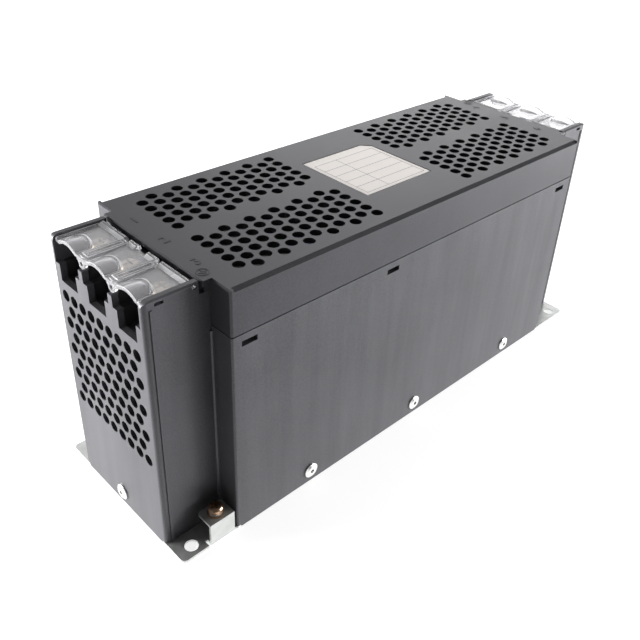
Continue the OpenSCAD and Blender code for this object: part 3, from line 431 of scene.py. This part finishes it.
def addSlab(data, outline, low, high):
    # closed prism between two heights
    bottom = [data.verts.new((x, y, low)) for x, y in outline]
    top = [data.verts.new((x, y, high)) for x, y in outline]
    data.faces.new(list(reversed(bottom)))
    data.faces.new(top)
    for i in range(len(outline)):
        j = (i + 1) % len(outline)
        data.faces.new((bottom[i], bottom[j], top[j], top[i]))


def barOutline(start, end, width):
    a, b = Vector(start), Vector(end)
    side = (b - a).normalized().orthogonal() * width / 2
    return [a + side, b + side, b - side, a - side]


# numerals and earth signs, moulded on the lid; their finish is darker than the lid as painted shade
marks = {
    "height": 5.3 * mm, "numeralIn": 7.3 * mm, "pitch": 22.8 * mm, "rise": 0.16 * mm, "sink": 0.3 * mm,
    "bold": 0.14 * mm, "capital": 0.72,
}


def addNumeral(text, x, y):
    data = bpy.data.curves.new("terminal_number_" + text, "FONT")
    data.body = text
    data.size = marks["height"] / marks["capital"]
    data.align_x = "CENTER"
    data.align_y = "CENTER"
    data.extrude = marks["sink"] / 2
    data.offset = marks["bold"]
    obj = bpy.data.objects.new("terminal_number_" + text, data)
    bpy.context.collection.objects.link(obj)
    obj.location = (x, y, lidTop + marks["rise"] - marks["sink"] / 2)
    obj.data.materials.append(finishes["lidMarkShade"])
    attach(obj, "housing")
    return obj


for end, numbers in ((-1, "123"), (1, "456")):
    for index, text in enumerate(numbers):
        addNumeral(text, end * (lidHalf - marks["numeralIn"]), (1 - index) * marks["pitch"])

# each line of the sign: its height and half its length, as shares of the ring
earthSign = {
    "fromEnd": 4.4 * mm, "fromMiddle": 30.8 * mm, "radius": 2.9 * mm, "stroke": 0.55 * mm, "steps": 40,
    "lines": ((0.0, 0.62), (-0.28, 0.4), (-0.56, 0.18)), "stem": 0.62,
}


def ringPoint(x, y, radius, step, steps):
    turn = step * math.tau / steps
    return (x + radius * math.cos(turn), y + radius * math.sin(turn))


def addEarthSign(name, x, y):
    def build(data):
        high = lidTop + marks["rise"]
        low = high - marks["sink"]
        sign = earthSign
        radius, stroke, steps = sign["radius"], sign["stroke"], sign["steps"]
        inner = [ringPoint(x, y, radius - stroke, i, steps) for i in range(steps)]
        outer = [ringPoint(x, y, radius, i, steps) for i in range(steps)]
        for i in range(steps):
            j = (i + 1) % steps
            addSlab(data, [inner[i], outer[i], outer[j], inner[j]], low, high)
        addSlab(data, barOutline((x, y + radius * sign["stem"]), (x, y), stroke), low, high)
        for offset, half in sign["lines"]:
            level = y + offset * radius
            addSlab(data, barOutline((x - half * radius, level), (x + half * radius, level), stroke),
                    low, high)
    return meshObject(name, build, "lidMarkShade")


signX = lidHalf - earthSign["fromEnd"]
addEarthSign("earth_sign_line", -signX, -earthSign["fromMiddle"])
addEarthSign("earth_sign_load", signX, earthSign["fromMiddle"])
print("lid marks made")

# painted highlights on the clear covers: whitish beads and strips along their rounded edges, measured from
# the front edge and the flat plate
coverHighlight = {
    "front": 1.2 * mm, "pinReach": 3.0 * mm, "flat": 1.7 * mm, "bead": 0.16 * mm,
    "fineBead": 0.8, "wideBead": 1.4,  # shares of the bead
    "domeHalf": 6.9 * mm, "domeRise": 1.9 * mm, "domeRear": 2.3 * mm, "domeRadius": 8.3 * mm,
    "footStart": 0.5 * mm, "crescent": 1.3 * mm, "crescentRows": (0.2 * mm, 0.25 * mm, 0.3 * mm),
    "crescentTurn": 0.92, "crescentFaces": (-0.04 * mm, 0.05 * mm), "crescentTop": 0.06 * mm,
    "island": (18.4 * mm, 4.9 * mm), "islandStart": 2.0 * mm, "islandRise": 0.6 * mm,
    "islandLines": (0.1 * mm, 1.35 * mm),
    "hinge": 23.0 * mm, "barrel": 1.4 * mm, "barrelDrop": 1.9 * mm, "barrelGap": 3.4 * mm,
    "shortBarrel": 6.1 * mm, "filletFoot": 2.5 * mm, "filletCrest": 0.75 * mm,
    "filletBack": 0.3 * mm, "filletDepth": 0.9 * mm, "filletEnd": 0.3 * mm, "filletClear": 0.02 * mm,
    "rimRise": 0.6 * mm, "rimIn": 0.25 * mm, "rimFront": 0.4 * mm, "rimRear": 1.9 * mm,
}


def addTube(data, path, radius, sides=6, closed=False):
    # round bead along a path of points
    count = len(path)
    rings = []
    for i, point in enumerate(path):
        before = path[(i - 1) % count] if closed or i > 0 else path[i]
        after = path[(i + 1) % count] if closed or i < count - 1 else path[i]
        along = (Vector(after) - Vector(before)).normalized()
        side = along.cross(Vector((0.0, 0.0, 1.0)))
        if side.length < 0.1:
            side = along.cross(Vector((0.0, 1.0, 0.0)))
        side.normalize()
        lift = side.cross(along)
        ring = []
        for k in range(sides):
            turn = k * math.tau / sides
            out = side * math.cos(turn) + lift * math.sin(turn)
            ring.append(data.verts.new(Vector(point) + out * radius))
        rings.append(ring)
    for i in range(count if closed else count - 1):
        here, there = rings[i], rings[(i + 1) % count]
        for k in range(sides):
            n = (k + 1) % sides
            data.faces.new((here[k], here[n], there[n], there[k]))
    if not closed:
        data.faces.new(list(reversed(rings[0])))
        data.faces.new(rings[-1])


def domeArch(spot, middle):
    # painted highlight along the front edge of a dome
    edge = coverHighlight
    bend = (edge["domeHalf"] ** 2 + edge["domeRise"] ** 2) / (2 * edge["domeRise"])
    path = []
    for i in range(17):
        y = edge["domeHalf"] * (i / 8 - 1)
        rise = edge["domeRise"] - bend + math.sqrt(bend ** 2 - y ** 2)
        path.append(spot(edge["front"] + edge["bead"], middle + y, max(rise, 0.0) - edge["bead"] * 1.05))
    return path


def domeFoot(spot, middle):
    # painted highlight round the foot of a dome, on the flat plate
    edge = coverHighlight
    start = math.asin(edge["domeHalf"] / edge["domeRadius"])
    front = edge["front"] + edge["footStart"]
    path = [spot(front, middle - edge["domeHalf"], 0.0)]
    for i in range(15):
        turn = -start + 2 * start * i / 14
        path.append(spot(edge["front"] + edge["domeRear"] + edge["domeRadius"] * math.cos(turn),
                         middle + edge["domeRadius"] * math.sin(turn), 0.0))
    path.append(spot(front, middle + edge["domeHalf"], 0.0))
    return path


def surfaceUnder(cover, point):
    # height of the cover's own surface below a point
    place = cover.matrix_world.inverted() @ Vector(point)
    hit, found = cover.ray_cast(place, (0.0, 0.0, -1.0))[:2]
    level = (cover.matrix_world @ found)[2] if hit else lidTop - coverHighlight["flat"]
    return min(level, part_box(cover.name)[1][2] - coverHighlight["crescentTop"])


def addCrescent(data, cover, spot, middle, steps=16):
    # painted highlight: a bright strip lying on the rounded rear of a dome, widest in the middle
    edge = coverHighlight
    start = edge["crescentTurn"] * math.asin(edge["domeHalf"] / edge["domeRadius"])
    rows = []
    for i in range(steps + 1):
        turn = start * (2 * i / steps - 1)
        width = edge["crescent"] * math.cos(0.5 * math.pi * turn / start)
        row = []
        for share, inset in zip((0.0, 0.5, 1.0), edge["crescentRows"]):
            radius = edge["domeRadius"] - inset - width * share
            x, y, z = spot(edge["front"] + edge["domeRear"] + radius * math.cos(turn),
                           middle + radius * math.sin(turn), 4 * mm)
            level = surfaceUnder(cover, (x, y, z))
            row.append([data.verts.new((x, y, level + lift)) for lift in edge["crescentFaces"]])
        rows.append(row)
    for here, there in zip(rows, rows[1:]):
        for k in range(2):
            data.faces.new((here[k][1], here[k + 1][1], there[k + 1][1], there[k][1]))
            data.faces.new((here[k][0], there[k][0], there[k + 1][0], here[k + 1][0]))
        data.faces.new((here[0][0], here[0][1], there[0][1], there[0][0]))
        data.faces.new((here[2][1], here[2][0], there[2][0], there[2][1]))
    for row, turned in ((rows[0], False), (rows[-1], True)):
        for k in range(2):
            corners = [row[k][0], row[k + 1][0], row[k + 1][1], row[k][1]]
            data.faces.new(list(reversed(corners)) if turned else corners)


def islandOutline(spot, middle, shrink):
    edge = coverHighlight
    u0 = edge["front"] + edge["islandStart"] + shrink
    u1 = u0 + edge["island"][0] - 2 * shrink
    w = edge["island"][1] / 2 - shrink
    corners = ((u0, -w), (u1, -w), (u1, w), (u0, w))
    return [spot(u, middle + y, edge["islandRise"]) for u, y in corners]


def addHingeHighlight(data, spot, middle, length):
    # painted highlight: a whitish sloping strip in front of a hinge barrel
    edge = coverHighlight
    y0 = middle - length / 2 + edge["filletEnd"]
    y1 = middle + length / 2 - edge["filletEnd"]
    crest = edge["hinge"] - edge["filletCrest"]
    lift = edge["flat"] - edge["barrelDrop"] + edge["barrel"] * 0.86
    section = ((edge["hinge"] - edge["filletFoot"], edge["filletClear"]), (crest, lift),
               (crest + edge["filletBack"], lift - edge["filletDepth"]))
    first = [data.verts.new(spot(u, y0, rise)) for u, rise in section]
    last = [data.verts.new(spot(u, y1, rise)) for u, rise in section]
    data.faces.new(first)
    data.faces.new(list(reversed(last)))
    for i in range(3):
        j = (i + 1) % 3
        data.faces.new((first[i], last[i], last[j], first[j]))


def addCoverHighlights(end, side):
    low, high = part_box(end + "_terminal_cover")
    cover = nodes[end + "_terminal_cover"]
    edge, bead = coverHighlight, coverHighlight["bead"]
    outer = low[0] if side < 0 else high[0]
    half = (high[1] - low[1]) / 2 - edge["pinReach"]

    def spot(u, y, rise):
        return (outer - side * (u - edge["front"]), y, lidTop - edge["flat"] + rise)

    def build(data):
        for k in (-1, 0, 1):
            middle = k * marks["pitch"]
            addTube(data, domeArch(spot, middle), bead)
            addTube(data, domeFoot(spot, middle), bead * edge["fineBead"])
            addCrescent(data, cover, spot, middle)
        # painted highlights: double lines round the raised islands between the bays
        for hand in (-1, 1):
            for shrink in edge["islandLines"]:
                outline = islandOutline(spot, hand * marks["pitch"] / 2, shrink)
                addTube(data, outline, bead * edge["wideBead"], closed=True)
        inner = marks["pitch"] / 2 - edge["barrelGap"] / 2
        long = half - marks["pitch"] / 2 - edge["barrelGap"] / 2
        for hand in (-1, 1):
            addHingeHighlight(data, spot, hand * (half - long / 2), long)
            addHingeHighlight(data, spot, hand * (inner - edge["shortBarrel"] / 2), edge["shortBarrel"])
        # painted highlights along both sides of the cover
        for hand in (-1, 1):
            y = hand * (half - edge["rimIn"])
            ends = (edge["front"] + edge["rimFront"], edge["hinge"] - edge["rimRear"])
            addTube(data, [spot(u, y, edge["rimRise"]) for u in ends], bead * edge["fineBead"])

    return meshObject(end + "_cover_highlights", build, "paintedEdgeHighlight", end + "_cover")


addCoverHighlights("line", -1)
addCoverHighlights("load", 1)
print("cover edges made")

# ruled lines of the label, with nothing written
labelInk = {
    "margin": 2.2 * mm, "head": 4.0 * mm, "line": 0.22 * mm, "thick": 0.03 * mm, "sink": 0.01 * mm,
    "rows": 5, "column": 0.36,
}


def buildLabelRules(data):
    low, high = labelHigh[2] - labelInk["sink"], labelHigh[2] + labelInk["thick"]
    x0, y0 = labelLow[0] + labelInk["margin"], labelLow[1] + labelInk["margin"]
    x1, y1 = labelHigh[0] - labelInk["margin"], labelHigh[1] - labelInk["margin"] - labelInk["head"]
    rule = labelInk["line"]
    for k in range(labelInk["rows"] + 1):
        y = y0 + (y1 - y0) * k / labelInk["rows"]
        addSlab(data, barOutline((x0, y), (x1, y), rule), low, high)
    for x in (x0, x1, x0 + (x1 - x0) * labelInk["column"]):
        addSlab(data, barOutline((x, y0 - rule / 2), (x, y1 + rule / 2), rule), low, high)


meshObject("label_rules", buildLabelRules, "labelRule")
print("label ruled")

# plain paper floor that glows a little where it is seen or mirrored; the mirrored glow is strongest near
# the part, a painted reflection on the housing's side faces
floorPaper = {
    "half": 6.0, "cloudScale": 30.0, "dark": colour(0.62, 0.62, 0.62), "light": colour(0.64, 0.64, 0.64),
    "stretch": (0.33, 1.0, 1.0), "seenReach": (0.2, 1.2), "seenGlow": (0.78, 1.2),
    "mirrorReach": (0.05, 0.17), "mirrorGlow": (1.5, 0.75),
}


def addFloor():
    mesh = bpy.data.meshes.new("floor")
    data = bmesh.new()
    bmesh.ops.create_grid(data, x_segments=1, y_segments=1, size=floorPaper["half"])
    data.to_mesh(mesh)
    data.free()
    floor = bpy.data.objects.new("floor", mesh)
    floor.location = (0, 0, cadBox[0][2])
    bpy.context.collection.objects.link(floor)
    material = bpy.data.materials.new("floorPaper")
    material.use_nodes = True
    tree = material.node_tree
    tree.nodes.clear()
    output = addNode(tree, "ShaderNodeOutputMaterial")
    paths = addNode(tree, "ShaderNodeLightPath")
    seen = calc(tree, "MAXIMUM", paths.outputs["Is Camera Ray"],
                calc(tree, "MAXIMUM", paths.outputs["Is Glossy Ray"], paths.outputs["Is Transmission Ray"]))
    paper = addNode(tree, "ShaderNodeBsdfDiffuse")
    place = addNode(tree, "ShaderNodeTexCoord").outputs["Object"]
    cloud = noise(tree, place, floorPaper["cloudScale"])
    tree.links.new(blendColour(tree, cloud, floorPaper["dark"], floorPaper["light"]), paper.inputs["Color"])
    glow = addNode(tree, "ShaderNodeEmission")
    away = addNode(tree, "ShaderNodeVectorMath", operation="LENGTH")
    tree.links.new(stretched(tree, place, floorPaper["stretch"]), away.inputs[0])
    # painted reflection: the floor glows brightest for mirrored rays close to the part, fading further out
    mirrored = ramp(tree, away.outputs["Value"], *floorPaper["mirrorReach"], *floorPaper["mirrorGlow"])
    level = addNode(tree, "ShaderNodeMix", data_type="FLOAT")
    tree.links.new(paths.outputs["Is Glossy Ray"], level.inputs[0])
    tree.links.new(ramp(tree, away.outputs["Value"], *floorPaper["seenReach"], *floorPaper["seenGlow"]),
                   level.inputs[2])
    tree.links.new(mirrored, level.inputs[3])
    tree.links.new(level.outputs[0], glow.inputs["Strength"])
    bright = addNode(tree, "ShaderNodeAddShader")
    tree.links.new(paper.outputs[0], bright.inputs[0])
    tree.links.new(glow.outputs[0], bright.inputs[1])
    mix = addNode(tree, "ShaderNodeMixShader")
    tree.links.new(seen, mix.inputs[0])
    tree.links.new(paper.outputs[0], mix.inputs[1])
    tree.links.new(bright.outputs[0], mix.inputs[2])
    tree.links.new(mix.outputs[0], output.inputs["Surface"])
    floor.data.materials.append(material)


# a dim room with one bright side, plain white where it is seen
sky = {"base": 0.12, "bright": 1.05, "towards": (0.8, 0.5, 0.25), "edge": 0.82, "full": 0.99}


def addWorld():
    world = bpy.data.worlds.new("studio")
    bpy.context.scene.world = world
    world.use_nodes = True
    tree = world.node_tree
    tree.nodes.clear()
    output = addNode(tree, "ShaderNodeOutputWorld")
    paths = addNode(tree, "ShaderNodeLightPath")
    seen = calc(tree, "MAXIMUM", paths.outputs["Is Camera Ray"], paths.outputs["Is Transmission Ray"])
    way = addNode(tree, "ShaderNodeVectorMath", operation="DOT_PRODUCT")
    tree.links.new(addNode(tree, "ShaderNodeTexCoord").outputs["Generated"], way.inputs[0])
    way.inputs[1].default_value = Vector(sky["towards"]).normalized()
    level = ramp(tree, way.outputs["Value"], sky["edge"], sky["full"], sky["base"], sky["bright"])
    light = addNode(tree, "ShaderNodeBackground")
    light.inputs["Color"].default_value = colour(1.0, 1.0, 1.0)
    tree.links.new(calc(tree, "MAXIMUM", level, seen), light.inputs["Strength"])
    tree.links.new(light.outputs[0], output.inputs["Surface"])


lamps = {
    "leftSoftbox": {"place": (-0.72, 0.62, 0.12), "target": (-0.12, 0.0, 0.07),
                    "size": (0.6, 0.22), "power": 22},
    "rightSoftbox": {"place": (0.95, -0.75, 0.14), "target": (0.0, 0.0, 0.03),
                     "size": (0.9, 0.26), "power": 24},
    "backSoftbox": {"place": (0.75, 0.55, 0.24), "target": (0.05, 0.0, 0.12),
                    "size": (0.8, 0.34), "power": 2.6},
    "topSoftbox": {"place": (0.35, 0.6, 1.0), "target": (0.0, 0.0, 0.1),
                   "size": (1.4, 1.4), "power": 7.1},
}


def addLamp(name, place, target, size, power):
    data = bpy.data.lights.new(name, "AREA")
    data.shape = "RECTANGLE"
    data.size, data.size_y = size
    data.energy = power
    lamp = bpy.data.objects.new(name, data)
    bpy.context.collection.objects.link(lamp)
    lamp.location = place
    way = Vector(target) - Vector(place)
    lamp.rotation_euler = way.to_track_quat("-Z", "Y").to_euler()
    lamp.visible_camera = False


view = {
    "place": (-0.27339, -0.24938, 0.2923), "target": (-0.00674, 0.00493, 0.06), "roll": 3.484,
    "lens": 43.684, "sensor": 36.0, "shift": (-0.03673, -0.05247),
}


def addCamera():
    data = bpy.data.cameras.new("camera")
    data.sensor_width = view["sensor"]
    data.lens = view["lens"]
    data.shift_x, data.shift_y = view["shift"]
    camera = bpy.data.objects.new("camera", data)
    bpy.context.collection.objects.link(camera)
    way = Vector(view["target"]) - Vector(view["place"])
    turn = way.to_track_quat("-Z", "Y").to_matrix().to_4x4()
    roll = Matrix.Rotation(math.radians(view["roll"]), 4, "Z")
    camera.matrix_world = Matrix.Translation(view["place"]) @ turn @ roll
    bpy.context.scene.camera = camera


addFloor()
addWorld()
for name, lamp in lamps.items():
    addLamp(name, **lamp)
addCamera()
bpy.context.scene.view_settings.view_transform = "Standard"
print("stage, light and camera made")
